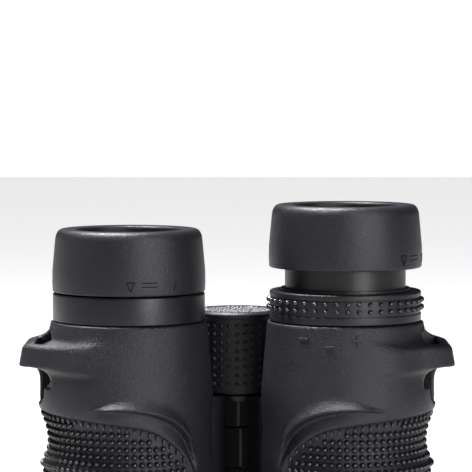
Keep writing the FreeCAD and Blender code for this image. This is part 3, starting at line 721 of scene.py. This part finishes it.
plus, minus, tick = 6.5, -32.5, -13.2           # angles of the signs
signs = [stroke([(plus - 3.6, 113.4), (plus + 3.6, 113.4)], 0.7, body_wall(plus), 0.44),
         stroke([(plus, 112.0), (plus, 114.8)], 0.7, body_wall(plus), 0.44),
         stroke([(minus - 3.6, 113.5), (minus + 3.6, 113.5)], 0.95, body_wall(minus), 0.4),
         stroke([(tick - 3.0, 111.6), (tick + 3.0, 111.7)], 0.5, body_wall(tick), 0.36)]
verts, faces = joined(signs)
marks = make_object("right_diopter_signs", to_side(verts, "right"), faces, 50)
attach(marks, rubber, "right_barrel", "armour_rubber")

CUP_TWIST = 43.0            # the right cup is up, and so is turned on its cam
for side, twist in (("left", 0.0), ("right", CUP_TWIST)):
    verts, faces = cup_marks(side, twist)
    marks = make_object(f"{side}_eyecup_marks", to_side(verts, side), flipped(faces, side), 50)
    attach(marks, marks_and_painted_shade_skin, f"{side}_eyecup", "cup_rubber")


# ---- hinge covers, rib and tab ----------------------------------------------------------------
COVER_RADIUS = 10.15        # just outside the knuckles' spines
COVER_INSIDE = 9.05
RIB_FRONT = HINGE_Y - 10.31
TAB_PROUD = 0.03            # of the rib


def bar(name, x, half, z0, z1, front, body, half_low=None):
    """Rounded upright bar on the thumb side of the hinge, half_low wide at its foot."""
    half_low = half_low or half
    section = [(-1, 1.2), (-1, 0.25), (-0.55, 0.0), (0.55, 0.0), (1, 0.25), (1, 1.2)]
    levels = ((z0, half_low, 0.25), (z0 + 0.25, half_low, 0.0), (z1 - 0.25, half, 0.0), (z1, half, 0.25))
    verts = []
    for z, wide, inset in levels:
        for u, v in section:
            verts.append((x + u * (wide - 0.4 * inset), front + v + (inset if v < 1 else 0), z))
    faces = outward(np.array(verts), tube_faces(len(section), len(levels)))
    attach(make_object(name, verts, faces, 40), rib_skin, body, "shell_plastic")


def hinge_cover(name, z0, z1, body, spread=62, steps=41):
    """Smooth half-round cover over one knuckle and its spine."""
    ring = [(COVER_RADIUS, a) for a in np.linspace(-spread, spread, steps)]
    ring += [(COVER_INSIDE, a) for a in np.linspace(spread, -spread, steps)]
    verts = [(r * math.sin(math.radians(a)), HINGE_Y - r * math.cos(math.radians(a)), z)
             for z in (z0, z1) for r, a in ring]
    n = len(ring)
    faces = [(m, (m + 1) % n, n + (m + 1) % n, n + m) for m in range(n)]
    faces += [(m, m + 1, n - 2 - m, n - 1 - m) for m in range(steps - 1)]
    faces += [(n + m, 2 * n - 1 - m, 2 * n - 2 - m, n + m + 1) for m in range(steps - 1)]
    cover = make_object(name, verts, outward(np.array(verts), faces), 40)
    attach(cover, cover_skin, body, "shell_plastic")


# each band rides the barrel that owns its knuckle
for letter, z0, z1, body, x in (("a", 85.7, 94.2, "left_barrel", 0.35),
                                ("b", 74.1, 85.2, "right_barrel", 1.0),
                                ("c", 52.4, 61.9, "right_barrel", 1.0)):
    hinge_cover(f"hinge_cover_{letter}", z0, z1, body)
    bar(f"hinge_rib_{letter}", x, 0.66, z0, z1, RIB_FRONT, body)
bar("hinge_tab", 0.35, 2.1, 92.6, 94.5, RIB_FRONT - TAB_PROUD, "left_barrel", 1.55)


# ---- floor, lights, camera, in metres ---------------------------------------------------------
GLOW_START, GLOW_FULL = 0.5, 0.8        # distances over which the floor fades to white
GLOW_CENTRE = 0.3                       # those distances are from a point this far in front


def floor_material():
    """Pale floor that glows further out, so that it meets the white behind it without a line."""
    pale = skin("floor_pale", (0.40, 0.40, 0.40), (0.43, 0.43, 0.43), 0.8, 40.0, 0.02,
                Emission_Color=(1, 1, 1, 1))
    tree = pale.node_tree
    shifted = tree.nodes.new("ShaderNodeVectorMath")
    shifted.operation = "MULTIPLY_ADD"
    shifted.inputs[1].default_value = (0.5, 1, 1)
    shifted.inputs[2].default_value = (0, GLOW_CENTRE, 0)
    tree.links.new(tree.nodes.new("ShaderNodeTexCoord").outputs["Object"], shifted.inputs[0])
    far = tree.nodes.new("ShaderNodeVectorMath")
    far.operation = "LENGTH"
    tree.links.new(shifted.outputs["Vector"], far.inputs[0])
    sweep = tree.nodes.new("ShaderNodeMapRange")
    sweep.interpolation_type = "SMOOTHSTEP"
    sweep.inputs["From Min"].default_value = GLOW_START
    sweep.inputs["From Max"].default_value = GLOW_FULL
    sweep.inputs["To Max"].default_value = 0.8
    tree.links.new(far.outputs["Value"], sweep.inputs["Value"])
    tree.links.new(sweep.outputs["Result"], tree.nodes["Principled BSDF"].inputs["Emission Strength"])
    return pale


floor_mesh = bpy.data.meshes.new("floor")
floor_mesh.from_pydata([(-4, -4, 0), (4, -4, 0), (4, 4, 0), (-4, 4, 0)], [], [(0, 1, 2, 3)])
floor = bpy.data.objects.new("floor", floor_mesh)
bpy.context.scene.collection.objects.link(floor)
dress(floor_material(), floor)


def studio_world():
    """Faint even light on the object, and plain white where the camera sees past the floor."""
    world = bpy.data.worlds.new("studio")
    world.use_nodes = True
    sky = world.node_tree
    glow = sky.nodes["Background"]
    glow.inputs["Color"].default_value = (0.94, 0.92, 1, 1)
    glow.inputs["Strength"].default_value = 0.04
    paper = sky.nodes.new("ShaderNodeBackground")
    paper.inputs["Color"].default_value = (1, 1, 1, 1)
    paper.inputs["Strength"].default_value = 1.0
    pick = sky.nodes.new("ShaderNodeMixShader")
    sky.links.new(sky.nodes.new("ShaderNodeLightPath").outputs["Is Camera Ray"], pick.inputs["Fac"])
    sky.links.new(glow.outputs[0], pick.inputs[1])
    sky.links.new(paper.outputs[0], pick.inputs[2])
    sky.links.new(pick.outputs[0], sky.nodes["World Output"].inputs["Surface"])
    bpy.context.scene.world = world


def softbox(name, place, aim, size, power):
    """Soft rectangular light in watts, turned to aim at a point."""
    light = bpy.data.lights.new(name, "AREA")
    light.shape = "RECTANGLE"
    light.size, light.size_y = size
    light.energy = power
    obj = bpy.data.objects.new(name, light)
    bpy.context.scene.collection.objects.link(obj)
    obj.location = place
    direction = obj.location - type(obj.location)(aim)
    obj.rotation_euler = direction.to_track_quat("Z", "Y").to_euler()


studio_world()
LIT_SPOT = (0, 0, 0.11)
softbox("key", (0.66, -1.0, 0.42), LIT_SPOT, (0.15, 0.9), 12)
softbox("top", (-0.32, 0.12, 1.15), LIT_SPOT, (0.32, 0.32), 46)

CAMERA_TILT = 3.5           # degrees below level
camera_data = bpy.data.cameras.new("camera")
camera_data.sensor_width = 36.0
camera_data.lens = 204.5
camera_data.shift_x = -0.0023
camera_data.clip_start = 0.01
camera = bpy.data.objects.new("camera", camera_data)
bpy.context.scene.collection.objects.link(camera)
camera.location = (0.0, -0.7482, 0.186)
camera.rotation_euler = (math.radians(90 - CAMERA_TILT), 0, 0)
bpy.context.scene.camera = camera
bpy.context.scene.view_settings.view_transform = "Standard"
